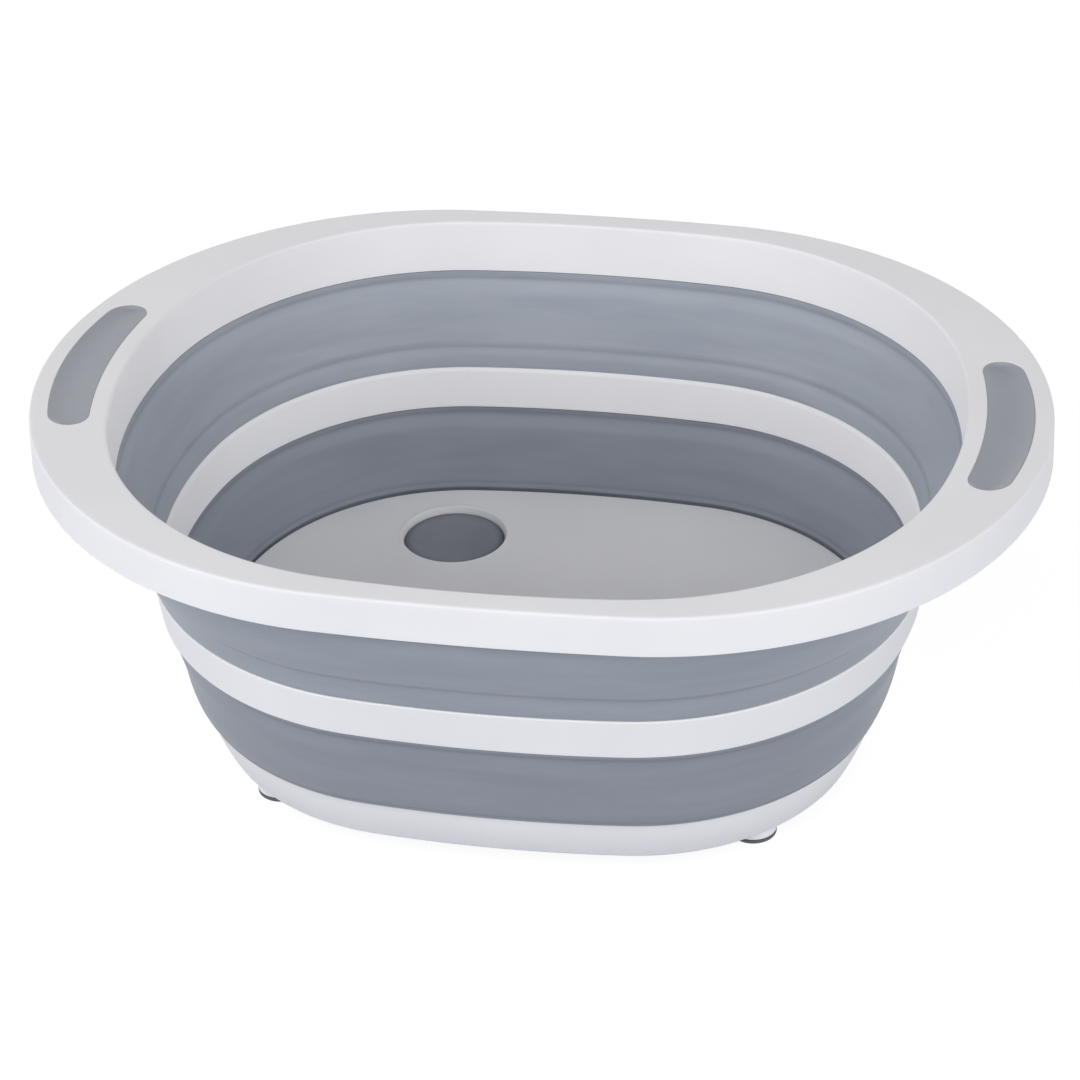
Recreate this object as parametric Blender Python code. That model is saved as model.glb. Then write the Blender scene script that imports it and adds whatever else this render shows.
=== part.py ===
# Folding oval wash basin. Three hard mouldings, the rim, a middle ring and a
# tray, are joined by two soft walls that fold, so the basin presses flat.
# A plug closes the drain in its floor, soft grips lie in the rim's two ends,
# and four soft pads stand under the tray.
# Metres, +Z up. The origin is on the ground, under the middle of the basin.

import bpy
import bmesh
from math import atan2, cos, pi, radians, sin
from mathutils import Vector

# Heights, stacked from the ground up
skirt_height = 0.0058
floor_height = 0.0309
lower_wall_height = 0.0339
ring_height = 0.0169
upper_wall_height = 0.0379
rim_wall_depth = 0.0214

# How far the inner face of each piece leans inwards, from its top to its bottom
rim_wall_lean = 0.0011
upper_wall_lean = 0.0139
ring_lean = 0.0022
lower_wall_lean = 0.0109
skirt_lean = 0.0069

# The rim's outer outline
rim_half_length = 0.190
rim_half_width = 0.1462
rim_corner_radius = 0.1445
rim_side_bow = 0.0013
rim_end_bow = 0.0002

# The mouth: the rim's inner outline, which all the walls follow inwards
rim_end_width = 0.0315
rim_side_width = 0.0103
mouth_corner_radius = 0.118
mouth_side_bow = 0.0020
mouth_end_bow = 0.0019

# Rim section
rim_top_thickness = 0.0026
rim_skirt_drop = 0.0154
rim_skirt_thickness = 0.0022
rim_skirt_draft = 0.0004
rim_edge_radius = 0.0024
mouth_edge_radius = 0.0018
rim_rib_depth = 0.0080
rim_rib_thickness = 0.0016

# Where a rounded edge's middle point lies, as a share of the radius from its corner
edge_roundness = 0.3

# How far up ribs and bosses run into the plate above them, as a share of its thickness
root_share = 1 / 3

# Hard shell and soft wall thickness, and the tongue joint between them
shell_thickness = 0.0030
tongue_thickness = 0.0010
tongue_length = 0.0022
joint_gap = 0.0003

# Fold lines of the soft walls
ridge_drop = 0.0039
ridge_height = 0.0006
ridge_half_width = 0.0012
fold_rise = 0.0092
fold_depth = 0.0008
fold_half_width = 0.0014

# Tray
floor_thickness = 0.0025
shoulder_drop = 0.0055
skirt_thickness = 0.0024
skirt_chamfer = 0.0007
ring_rib_inset = 0.080
tray_rib_depth = 0.0060
tray_rib_thickness = 0.0016

# Drain and plug
drain_angle = radians(78.3)
drain_edge_distance = 0.0344
plug_radius = 0.0202
plug_thickness = 0.0025
plug_dish = 0.0008
plug_dish_profile = ((0.60, 0.85), (0.86, 0.30), (0.94, 0.0))  # shares of the radius and the dish
plug_web = 0.0010
plug_sink = 0.0020
stopper_radius = 0.0146
stopper_length = 0.0100
stopper_wall = 0.0020
stopper_taper = 0.0005
plug_gap = 0.0004
dimple_width = 0.0011
seat_thickness = 0.0028
spout_length = 0.0100
spout_wall = 0.0024

# Feet
foot_angle = radians(46)
foot_edge_distance = 0.0103
foot_radius = 0.0090
foot_wall = 0.0025
foot_bore_height = 0.0220
pad_thickness = 0.0015
pad_edge = 0.0006
pad_stem_length = 0.0060

# Grips
grip_half_length = 0.0465
grip_outer_margin = 0.0070
grip_inner_margin = 0.0070
grip_outer_corner = 0.0062
grip_inner_corner = 0.0090
grip_thickness = 0.0013
grip_edge = 0.0003

# Facets. Ribs stand on the steps of the oval, counted from the middle of a side or an end
end_steps = 3
corner_steps = 11
side_steps = 2
quarter_steps = end_steps + corner_steps + side_steps
round_steps = 32
foot_steps = 20
grip_steps = 9
grip_corner_steps = 5
rim_rib_steps = (0, 2, 4, 6, 8)
tray_spoke_steps = (0, 5, quarter_steps - 4)
sharp_angle = radians(28)
weld_distance = 1e-6
halvings = 40

# Heights and insets that follow from them
ring_bottom = floor_height + lower_wall_height
ring_top = ring_bottom + ring_height
rim_wall_bottom = ring_top + upper_wall_height
overall_height = rim_wall_bottom + rim_wall_depth
ring_top_inset = rim_wall_lean + upper_wall_lean
ring_bottom_inset = ring_top_inset + ring_lean
floor_inset = ring_bottom_inset + lower_wall_lean
shoulder_height = floor_height - shoulder_drop
lip_thickness = (shell_thickness - tongue_thickness - 2 * joint_gap) / 2
rim_underside = overall_height - rim_top_thickness
floor_underside = floor_height - floor_thickness
plug_top = floor_height - plug_sink
seat_height = plug_top - plug_thickness - joint_gap
drain_hole_radius = stopper_radius + plug_gap
recess_radius = plug_radius + plug_gap

# Inner faces of the two soft walls, as (height, inset) at their ends
upper_face = ((rim_wall_bottom, rim_wall_lean), (ring_top, ring_top_inset))
lower_face = ((ring_bottom, ring_bottom_inset), (floor_height, floor_inset))


class Oval:
    # Four corner arcs joined by slightly bowed sides and ends, all tangent.
    # Its points are found by the angle of their outward normal.
    def __init__(self, half_length, half_width, corner_radius, side_bow, end_bow):
        widest = min(half_width - side_bow - 2 * end_bow, half_length - end_bow - 2 * side_bow)
        radius = min(corner_radius, widest)
        centre_x = half_length - end_bow - radius
        centre_y = half_width - side_bow - radius
        end_radius = radius + (centre_y ** 2 + end_bow ** 2) / (2 * end_bow)
        side_radius = radius + (centre_x ** 2 + side_bow ** 2) / (2 * side_bow)
        end_x = half_length - end_radius
        side_y = half_width - side_radius
        self.end_arc = (end_x, 0.0, end_radius)
        self.corner_arc = (centre_x, centre_y, radius)
        self.side_arc = (0.0, side_y, side_radius)
        self.end_angle = atan2(centre_y, centre_x - end_x)
        self.side_angle = atan2(centre_y - side_y, centre_x)

    def point(self, angle, inset):
        # A point of the first quarter, moved inwards along the normal.
        if angle < self.end_angle:
            x, y, radius = self.end_arc
        elif angle < self.side_angle:
            x, y, radius = self.corner_arc
        else:
            x, y, radius = self.side_arc
        return x + (radius - inset) * cos(angle), y + (radius - inset) * sin(angle)


rim_oval = Oval(rim_half_length, rim_half_width, rim_corner_radius, rim_side_bow, rim_end_bow)
mouth_oval = Oval(
    rim_half_length - rim_end_width,
    rim_half_width - rim_side_width,
    mouth_corner_radius,
    mouth_side_bow,
    mouth_end_bow,
)


def spread(start, end, steps):
    # Equal steps from start, leaving the end out.
    return [start + (end - start) * step / steps for step in range(steps)]


def quarter_angles():
    # Normal angles from the end of the oval to just short of its side.
    angles = spread(0.0, mouth_oval.end_angle, end_steps)
    angles += spread(mouth_oval.end_angle, mouth_oval.side_angle, corner_steps)
    angles += spread(mouth_oval.side_angle, pi / 2, side_steps)
    return angles


def oval_ring(oval, inset):
    # The whole oval, counter-clockwise from its +X end.
    angles = quarter_angles()
    back = [pi / 2] + angles[:0:-1]
    first = [oval.point(angle, inset) for angle in angles]
    second = [oval.point(angle, inset) for angle in back]
    ring = first
    ring = ring + [(-x, y) for x, y in second]
    ring = ring + [(-x, -y) for x, y in first]
    ring = ring + [(x, -y) for x, y in second]
    return ring


def clear_scene():
    for thing in list(bpy.data.objects):
        bpy.data.objects.remove(thing, do_unlink=True)


def make_material(name, colour, roughness):
    material = bpy.data.materials.new(name)
    material.use_nodes = True
    shader = material.node_tree.nodes["Principled BSDF"]
    shader.inputs["Base Color"].default_value = (*colour, 1.0)
    shader.inputs["Roughness"].default_value = roughness
    shader.inputs["Metallic"].default_value = 0.0
    return material


def make_object(name, mesh, material, parent, location=(0.0, 0.0, 0.0)):
    thing = bpy.data.objects.new(name, mesh)
    bpy.context.scene.collection.objects.link(thing)
    thing.parent = parent
    thing.location = location
    if material and not mesh.materials:
        mesh.materials.append(material)
    return thing


def make_empty(name, location, parent=None):
    empty = bpy.data.objects.new(name, None)
    bpy.context.scene.collection.objects.link(empty)
    empty.empty_display_size = 0.02
    empty.parent = parent
    empty.location = location
    return empty


def finish_mesh(name, shape):
    # Faces out, smooth over the round stretches, as a mesh of that name.
    bmesh.ops.recalc_face_normals(shape, faces=shape.faces)
    mesh = bpy.data.meshes.new(name)
    shape.to_mesh(mesh)
    shape.free()
    mesh.shade_smooth()
    mesh.set_sharp_from_angle(angle=sharp_angle)
    return mesh


def loft(shape, section, base, capped):
    # A skin over oval rings. The section lists (oval, inset, height) in order.
    # It closes on itself, or is capped at its first and last ring.
    rings = []
    for oval, inset, height in section:
        rings.append([shape.verts.new((x, y, height - base)) for x, y in oval_ring(oval, inset)])
    pairs = list(zip(rings, rings[1:]))
    if capped:
        shape.faces.new(rings[0])
        shape.faces.new(rings[-1])
    else:
        pairs.append((rings[-1], rings[0]))
    for lower, upper in pairs:
        for here in range(len(lower)):
            after = (here + 1) % len(lower)
            shape.faces.new((lower[here], lower[after], upper[after], upper[here]))


def turn(shape, profile, centre, steps):
    # A body of revolution about a vertical axis, from (radius, height) points.
    verts = [shape.verts.new((centre[0] + radius, centre[1], height)) for radius, height in profile]
    edges = [shape.edges.new(pair) for pair in zip(verts, verts[1:])]
    axis_point = (centre[0], centre[1], 0.0)
    bmesh.ops.spin(shape, geom=verts + edges, cent=axis_point, axis=(0.0, 0.0, 1.0),
                   angle=2 * pi, steps=steps, use_merge=True)
    bmesh.ops.remove_doubles(shape, verts=shape.verts, dist=weld_distance)


def prism(shape, outline, low, high):
    # A flat outline raised from one height to another.
    face = shape.faces.new([shape.verts.new((x, y, low)) for x, y in outline])
    raised = bmesh.ops.extrude_face_region(shape, geom=[face])
    lifted = [item for item in raised["geom"] if isinstance(item, bmesh.types.BMVert)]
    bmesh.ops.translate(shape, verts=lifted, vec=(0.0, 0.0, high - low))


def web(shape, start, end, thickness, low, high):
    # A straight rib between two points of the plan.
    along = (Vector(end) - Vector(start)).normalized()
    across = Vector((-along.y, along.x)) * (thickness / 2)
    outline = [Vector(start) + across, Vector(start) - across, Vector(end) - across, Vector(end) + across]
    prism(shape, [tuple(corner) for corner in outline], low, high)


def combine(target, tool, operation):
    # A hidden body is joined to the target or cut out of it.
    tool.hide_render = True
    tool.display_type = "WIRE"
    modifier = target.modifiers.new(tool.name, "BOOLEAN")
    modifier.operation = operation
    modifier.solver = "EXACT"
    modifier.object = tool


def face_inset(face, height):
    # Where the inner face of a soft wall lies at a height.
    (top, top_inset), (bottom, bottom_inset) = face
    return top_inset + (bottom_inset - top_inset) * (top - height) / (top - bottom)


def inner_point(face, height, depth=0.0):
    # On a wall's inner face, or that deep in the wall.
    return mouth_oval, face_inset(face, height) - depth, height


def outer_point(face, height, depth=0.0):
    # On a wall's outer face, or that deep in the wall.
    return mouth_oval, face_inset(face, height) - shell_thickness + depth, height


def tongue(face, root, tip):
    # The thin edge of a hard piece, from its inner root round to its outer root.
    inside = lip_thickness + joint_gap
    return [
        inner_point(face, root, inside),
        inner_point(face, tip, inside),
        outer_point(face, tip, inside),
        outer_point(face, root, inside),
    ]


def lips(face, inner_end, outer_end, slot_end):
    # A soft wall's edge that holds a tongue, from its outer lip round to its inner lip.
    return [
        outer_point(face, outer_end),
        outer_point(face, outer_end, lip_thickness),
        outer_point(face, slot_end, lip_thickness),
        inner_point(face, slot_end, lip_thickness),
        inner_point(face, inner_end, lip_thickness),
        inner_point(face, inner_end),
    ]


def soft_wall(name, face, bottom_outer, base):
    # A soft wall between two hard pieces, with a ridge and two fold grooves.
    (top, _), (bottom, _) = face
    ridge = top - ridge_drop
    inner_fold = bottom + fold_rise
    outer_fold = top - fold_rise
    section = lips(face, top - joint_gap, top - joint_gap, top - tongue_length - joint_gap)
    section += [
        inner_point(face, ridge + ridge_half_width),
        inner_point(face, ridge, -ridge_height),
        inner_point(face, ridge - 2 * ridge_half_width),
        inner_point(face, inner_fold + fold_half_width),
        inner_point(face, inner_fold, fold_depth),
        inner_point(face, inner_fold - fold_half_width),
    ]
    lower_lips = lips(face, bottom + joint_gap, bottom_outer + joint_gap, bottom + tongue_length + joint_gap)
    section += lower_lips[::-1]
    section += [
        outer_point(face, outer_fold - fold_half_width),
        outer_point(face, outer_fold, fold_depth),
        outer_point(face, outer_fold + fold_half_width),
    ]
    shape = bmesh.new()
    loft(shape, section, base, False)
    return finish_mesh(name, shape)


def rim_mesh(base):
    # An upturned channel: outer skirt, flat top and a deeper inner wall with a tongue.
    skirt_bottom = overall_height - rim_skirt_drop
    outer_soft = edge_roundness * rim_edge_radius
    inner_soft = edge_roundness * mouth_edge_radius
    section = [
        (rim_oval, rim_skirt_thickness - rim_skirt_draft, skirt_bottom),
        (rim_oval, -rim_skirt_draft, skirt_bottom),
        (rim_oval, 0.0, overall_height - rim_edge_radius),
        (rim_oval, outer_soft, overall_height - outer_soft),
        (rim_oval, rim_edge_radius, overall_height),
        (mouth_oval, -mouth_edge_radius, overall_height),
        (mouth_oval, -inner_soft, overall_height - inner_soft),
        (mouth_oval, 0.0, overall_height - mouth_edge_radius),
        inner_point(upper_face, rim_wall_bottom),
    ]
    section += tongue(upper_face, rim_wall_bottom, rim_wall_bottom - tongue_length)
    section += [
        outer_point(upper_face, rim_wall_bottom),
        (mouth_oval, -shell_thickness, rim_underside),
        (rim_oval, rim_skirt_thickness, rim_underside),
    ]
    shape = bmesh.new()
    loft(shape, section, base, False)
    return finish_mesh("rim_frame", shape)


def rim_rib_mesh(base):
    # Ribs across the channel along the long sides and corners. The ends stay open for fingers.
    high = rim_underside + rim_top_thickness * root_share
    low = rim_underside - rim_rib_depth
    skirt_line = oval_ring(rim_oval, rim_skirt_thickness / 2)
    wall_line = oval_ring(mouth_oval, -shell_thickness / 2)
    shape = bmesh.new()
    for middle in (quarter_steps, 3 * quarter_steps):
        places = {middle + step for step in rim_rib_steps}
        places |= {middle - step for step in rim_rib_steps}
        for place in sorted(places):
            web(shape, wall_line[place], skirt_line[place], rim_rib_thickness, low - base, high - base)
    return finish_mesh("rim_ribs", shape)


def side_points(oval, inset, half_length):
    # Points of an oval's +X end, from -Y to +Y, up to a distance from the X axis.
    low, high = 0.0, pi / 2
    for _ in range(halvings):
        angle = (low + high) / 2
        if oval.point(angle, inset)[1] < half_length:
            low = angle
        else:
            high = angle
    reach = (low + high) / 2
    upper = [oval.point(angle, inset) for angle in spread(reach, 0.0, grip_steps)]
    lower = [(x, -y) for x, y in upper]
    return lower + [oval.point(0.0, inset)] + upper[::-1]


def grip_shape(spare, low, high):
    # The grip's outline, larger all round by the spare amount, with round corners.
    half_length = grip_half_length + spare
    outer = side_points(rim_oval, grip_outer_margin - spare, half_length)
    inner = side_points(mouth_oval, -(grip_inner_margin - spare), half_length)
    shape = bmesh.new()
    prism(shape, outer + inner[::-1], low, high)
    for ends, radius in ((outer, grip_outer_corner), (inner, grip_inner_corner)):
        corners = [Vector(ends[0]), Vector(ends[-1])]
        upright = []
        for edge in shape.edges:
            start, end = (vert.co for vert in edge.verts)
            if (start.xy - end.xy).length > weld_distance:
                continue
            if min((start.xy - corner).length for corner in corners) < weld_distance:
                upright.append(edge)
        bmesh.ops.bevel(shape, geom=upright, offset=radius + spare,
                        segments=grip_corner_steps, profile=0.5, affect="EDGES")
    return shape


def grip_mesh():
    shape = grip_shape(0.0, -grip_thickness, 0.0)
    bmesh.ops.recalc_face_normals(shape, faces=shape.faces)
    top_edges = []
    for edge in shape.edges:
        flat = all(abs(vert.co.z) < weld_distance for vert in edge.verts)
        faces_up = [face.normal.z > 0.5 for face in edge.link_faces]
        if flat and True in faces_up and False in faces_up:
            top_edges.append(edge)
    bmesh.ops.bevel(shape, geom=top_edges, offset=grip_edge, segments=1, affect="EDGES")
    return finish_mesh("grip", shape)


def grip_pocket_mesh():
    shape = grip_shape(joint_gap, -grip_thickness - joint_gap, rim_top_thickness)
    return finish_mesh("grip_pocket", shape)


def ring_mesh(base):
    # The middle ring, with a tongue up into one soft wall and down into the other.
    section = [inner_point(upper_face, ring_top), inner_point(lower_face, ring_bottom)]
    section += tongue(lower_face, ring_bottom, ring_bottom - tongue_length)
    section += [outer_point(lower_face, ring_bottom), outer_point(upper_face, ring_top)]
    section += tongue(upper_face, ring_top, ring_top + tongue_length)[::-1]
    shape = bmesh.new()
    loft(shape, section, base, False)
    return finish_mesh("middle_ring", shape)


def skirt_inset(height):
    # The outer face of the tray's skirt at a height.
    share = (shoulder_height - height) / (shoulder_height - skirt_height)
    return face_inset(lower_face, shoulder_height) - shell_thickness + skirt_lean * share


def tray_mesh():
    # The floor, the tongue round it, the shoulder under the soft wall and the skirt.
    edge = tongue(lower_face, floor_height, floor_height + tongue_length)
    inside = lip_thickness + joint_gap
    section = edge[:3]
    section += [
        outer_point(lower_face, shoulder_height, inside),
        outer_point(lower_face, shoulder_height),
        (mouth_oval, skirt_inset(skirt_height + skirt_chamfer), skirt_height + skirt_chamfer),
        (mouth_oval, skirt_inset(skirt_height) + skirt_chamfer, skirt_height),
        (mouth_oval, skirt_inset(skirt_height) + skirt_thickness, skirt_height),
        outer_point(lower_face, floor_underside, inside + skirt_thickness),
    ]
    shape = bmesh.new()
    loft(shape, section, 0.0, True)
    return finish_mesh("base_tray", shape)


def foot_places():
    # One foot in each corner, a set distance inside the skirt's lower edge.
    x, y = mouth_oval.point(foot_angle, skirt_inset(skirt_height) + foot_edge_distance)
    return [(x, y), (x, -y), (-x, y), (-x, -y)]


def drain_place():
    # Near one long side, a set distance inside the floor's edge.
    x, y = mouth_oval.point(drain_angle, floor_inset + drain_edge_distance)
    return -x, y


def foot_boss_mesh():
    # The bosses that hang under the floor and carry the foot pads.
    into_floor = floor_underside + floor_thickness * root_share
    boss_bottom = pad_thickness + joint_gap
    shape = bmesh.new()
    for place in foot_places():
        profile = [(0.0, boss_bottom), (foot_radius, boss_bottom)]
        profile += [(foot_radius, into_floor), (0.0, into_floor)]
        turn(shape, profile, place, foot_steps)
    return finish_mesh("foot_bosses", shape)


def foot_bore_mesh():
    # The bores that take the foot pads' stems.
    bore_radius = foot_radius - foot_wall
    shape = bmesh.new()
    for place in foot_places():
        profile = [(0.0, -pad_thickness), (bore_radius, -pad_thickness)]
        profile += [(bore_radius, foot_bore_height), (0.0, foot_bore_height)]
        turn(shape, profile, place, foot_steps)
    return finish_mesh("foot_bores", shape)


def drain_body_mesh():
    # The drain's seat and spout under the floor.
    into_floor = floor_underside + floor_thickness * root_share
    seat_bottom = seat_height - seat_thickness
    spout_radius = drain_hole_radius + spout_wall
    collar_radius = recess_radius + dimple_width + seat_thickness
    profile = [
        (0.0, seat_bottom - spout_length),
        (spout_radius, seat_bottom - spout_length),
        (spout_radius, seat_bottom),
        (collar_radius, seat_bottom),
        (collar_radius, into_floor),
        (0.0, into_floor),
    ]
    shape = bmesh.new()
    turn(shape, profile, drain_place(), round_steps)
    return finish_mesh("drain_body", shape)


def drain_cut_mesh():
    # The drain's dimple, pocket and hole.
    above = floor_height + floor_thickness
    below = seat_height - seat_thickness - 2 * spout_length
    profile = [
        (0.0, above),
        (recess_radius + dimple_width, above),
        (recess_radius + dimple_width, floor_height),
        (recess_radius, plug_top),
        (recess_radius, seat_height),
        (drain_hole_radius, seat_height),
        (drain_hole_radius, below),
        (0.0, below),
    ]
    shape = bmesh.new()
    turn(shape, profile, drain_place(), round_steps)
    return finish_mesh("drain_cut", shape)


def tray_ring_rib_mesh():
    # An oval rib under the floor.
    low = floor_underside - tray_rib_depth
    high = floor_underside + floor_thickness * root_share
    inner = ring_rib_inset + tray_rib_thickness
    section = [
        (mouth_oval, ring_rib_inset, low),
        (mouth_oval, ring_rib_inset, high),
        (mouth_oval, inner, high),
        (mouth_oval, inner, low),
    ]
    shape = bmesh.new()
    loft(shape, section, 0.0, False)
    return finish_mesh("tray_ring_rib", shape)


def tray_spoke_mesh():
    # Straight ribs from the oval rib out to the skirt, clear of the foot bosses.
    low = floor_underside - tray_rib_depth
    high = floor_underside + floor_thickness * root_share
    inner_line = oval_ring(mouth_oval, ring_rib_inset + tray_rib_thickness / 2)
    outer_line = oval_ring(mouth_oval, skirt_inset(floor_underside) + skirt_thickness)
    count = 4 * quarter_steps
    places = {quarter_steps, 3 * quarter_steps}
    for middle in (0, 2 * quarter_steps):
        for step in tray_spoke_steps:
            places |= {(middle + step) % count, (middle - step) % count}
    shape = bmesh.new()
    for place in sorted(places):
        web(shape, inner_line[place], outer_line[place], tray_rib_thickness, low, high)
    return finish_mesh("tray_spokes", shape)


def plug_mesh(base):
    # A dished disc over a hollow stopper, open below. The dish is given from the middle out.
    disc_bottom = plug_top - plug_thickness
    stopper_bottom = disc_bottom - stopper_length
    cavity_radius = stopper_radius - stopper_wall
    cavity_top = plug_top - plug_dish - plug_web
    profile = [(0.0, plug_top - plug_dish)]
    profile += [(out * plug_radius, plug_top - down * plug_dish) for out, down in plug_dish_profile]
    profile += [
        (plug_radius, plug_top - plug_dish),
        (plug_radius, disc_bottom),
        (stopper_radius, disc_bottom),
        (stopper_radius - stopper_taper, stopper_bottom),
        (cavity_radius, stopper_bottom),
        (cavity_radius, cavity_top),
        (0.0, cavity_top),
    ]
    shape = bmesh.new()
    turn(shape, [(radius, height - base) for radius, height in profile], (0.0, 0.0), round_steps)
    return finish_mesh("drain_plug", shape)


def foot_pad_mesh():
    # A disc on the ground with a stem that pushes up into the foot boss.
    stem_radius = foot_radius - foot_wall - joint_gap
    stem_top = pad_thickness + pad_stem_length
    profile = [
        (0.0, 0.0),
        (foot_radius - pad_edge, 0.0),
        (foot_radius, pad_edge),
        (foot_radius, pad_thickness),
        (stem_radius, pad_thickness),
        (stem_radius, stem_top),
        (0.0, stem_top),
    ]
    shape = bmesh.new()
    turn(shape, profile, (0.0, 0.0), foot_steps)
    return finish_mesh("foot_pad", shape)


def build():
    clear_scene()
    white = make_material("white_polypropylene", (0.78, 0.78, 0.81), 0.38)
    grey = make_material("grey_silicone", (0.27, 0.30, 0.34), 0.42)
    plug_grey = make_material("plug_rubber", (0.13, 0.14, 0.16), 0.50)
    grip_grey = make_material("grip_rubber", (0.29, 0.31, 0.33), 0.60)
    pad_grey = make_material("pad_rubber", (0.10, 0.11, 0.12), 0.65)

    base_group = make_empty("base_group", (0.0, 0.0, 0.0))
    middle_group = make_empty("middle_group", (0.0, 0.0, ring_bottom), base_group)
    rim_group = make_empty("rim_group", (0.0, 0.0, overall_height - ring_bottom), middle_group)

    tray = make_object("base_tray", tray_mesh(), white, base_group)
    combine(tray, make_object("foot_bosses", foot_boss_mesh(), white, base_group), "UNION")
    combine(tray, make_object("drain_body", drain_body_mesh(), white, base_group), "UNION")
    combine(tray, make_object("tray_ring_rib", tray_ring_rib_mesh(), white, base_group), "UNION")
    combine(tray, make_object("tray_spokes", tray_spoke_mesh(), white, base_group), "UNION")
    combine(tray, make_object("drain_cut", drain_cut_mesh(), white, base_group), "DIFFERENCE")
    combine(tray, make_object("foot_bores", foot_bore_mesh(), white, base_group), "DIFFERENCE")

    pad = foot_pad_mesh()
    for number, (x, y) in enumerate(foot_places(), start=1):
        make_object(f"foot_pad_{number}", pad, pad_grey, base_group, (x, y, 0.0))

    lower = soft_wall("lower_wall", lower_face, shoulder_height, 0.0)
    make_object("lower_wall", lower, grey, base_group)
    make_object("drain_plug", plug_mesh(plug_top), plug_grey, base_group, (*drain_place(), plug_top))

    make_object("middle_ring", ring_mesh(ring_bottom), white, middle_group)
    upper = soft_wall("upper_wall", upper_face, ring_top, ring_bottom)
    make_object("upper_wall", upper, grey, middle_group)

    rim = make_object("rim_frame", rim_mesh(overall_height), white, rim_group)
    combine(rim, make_object("rim_ribs", rim_rib_mesh(overall_height), white, rim_group), "UNION")
    grip = grip_mesh()
    pocket = grip_pocket_mesh()
    for name, angle in (("right", 0.0), ("left", pi)):
        cutter = make_object(f"grip_pocket_{name}", pocket, white, rim_group)
        cutter.rotation_euler = (0.0, 0.0, angle)
        combine(rim, cutter, "DIFFERENCE")
        make_object(f"grip_{name}", grip, grip_grey, rim_group).rotation_euler = (0.0, 0.0, angle)


build()
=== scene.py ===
import bmesh
import bpy
import numpy as np
from mathutils import Matrix, Vector


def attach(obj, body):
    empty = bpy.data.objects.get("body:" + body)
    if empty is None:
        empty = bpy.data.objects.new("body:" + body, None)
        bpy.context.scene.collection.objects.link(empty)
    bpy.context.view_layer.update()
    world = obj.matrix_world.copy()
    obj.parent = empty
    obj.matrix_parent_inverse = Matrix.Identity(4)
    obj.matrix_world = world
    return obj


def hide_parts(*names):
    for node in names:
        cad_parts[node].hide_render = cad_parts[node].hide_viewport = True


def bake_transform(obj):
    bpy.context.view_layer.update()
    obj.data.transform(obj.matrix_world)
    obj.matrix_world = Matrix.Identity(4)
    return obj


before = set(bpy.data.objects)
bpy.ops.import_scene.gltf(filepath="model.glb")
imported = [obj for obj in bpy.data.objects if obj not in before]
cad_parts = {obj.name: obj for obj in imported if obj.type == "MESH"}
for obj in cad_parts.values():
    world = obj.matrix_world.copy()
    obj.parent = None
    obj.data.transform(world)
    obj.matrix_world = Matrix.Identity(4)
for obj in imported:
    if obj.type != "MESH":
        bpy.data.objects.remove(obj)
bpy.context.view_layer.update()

# Folding oval wash basin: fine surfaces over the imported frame, finishes, light and camera.
# Metres, +Z up, the same frame as the CAD.

turnOnce = 2 * np.pi
columnCount = 480  # points round every oval
fineCount = 40001  # places at which the length round an oval is summed
guardShare = 0.25  # how far past a round corner its flats are pinned, as a share of its radius
weldDistance = 2e-7
creaseAngle = 50.0  # degrees between two faces from which their edge stays sharp

# The two outlines that everything follows: half sizes, corner radius, bows of side and end
rimOutline = {"halfLength": 0.190, "halfWidth": 0.1462, "corner": 0.1445,
              "sideBow": 0.0013, "endBow": 0.0002}
mouthOutline = {"halfLength": 0.1585, "halfWidth": 0.1359, "corner": 0.118,
                "sideBow": 0.0020, "endBow": 0.0019}

# Heights from the ground, and how far inside the mouth the inner faces lie there
heights = {
    "skirt": 0.0058, "shoulder": 0.0254, "floor": 0.0309, "ringBottom": 0.0648,
    "ringTop": 0.0817, "rimWall": 0.1196, "rimTop": 0.1410,
}
insets = {"skirt": 0.0338, "shoulder": 0.02687, "floor": 0.0281, "ringBottom": 0.0172,
          "ringTop": 0.0150, "rimWall": 0.0011}
shellThickness = 0.0030


# Surfaces: every shape is an array of points, then quads between them

def ovalRing(outline, angle, inset=0.0):
    # The point whose outward normal has this angle: the centre of its arc plus
    # (arc radius - inset) times (cos, sin), with three tangent arcs in each quarter.
    corner, sideBow, endBow = outline["corner"], outline["sideBow"], outline["endBow"]
    cornerX = outline["halfLength"] - endBow - corner
    cornerY = outline["halfWidth"] - sideBow - corner
    endRadius = corner + (cornerY ** 2 + endBow ** 2) / (2 * endBow)
    sideRadius = corner + (cornerX ** 2 + sideBow ** 2) / (2 * sideBow)
    endX = outline["halfLength"] - endRadius
    sideY = outline["halfWidth"] - sideRadius
    folded = np.arccos(np.clip(np.abs(np.cos(angle)), 0.0, 1.0))
    stretch = (folded >= np.arctan2(cornerY, cornerX - endX)).astype(int)
    stretch += folded >= np.arctan2(cornerY - sideY, cornerX)
    radius = np.choose(stretch, [endRadius, corner, sideRadius]) - inset
    x = np.choose(stretch, [endX, cornerX, 0.0]) + radius * np.cos(folded)
    y = np.choose(stretch, [0.0, cornerY, sideY]) + radius * np.sin(folded)
    return x * np.sign(np.cos(angle)), y * np.sign(np.sin(angle))


def evenAngles(outline, count):
    # Normal angles at equal steps of length: the arc length, summed finely, read backwards.
    fine = np.linspace(0.0, turnOnce, fineCount)
    x, y = ovalRing(outline, fine)
    length = np.concatenate([[0.0], np.cumsum(np.hypot(np.diff(x), np.diff(y)))])
    return np.interp(np.arange(count) / count * length[-1], length, fine)


angles = evenAngles(mouthOutline, columnCount)


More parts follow.
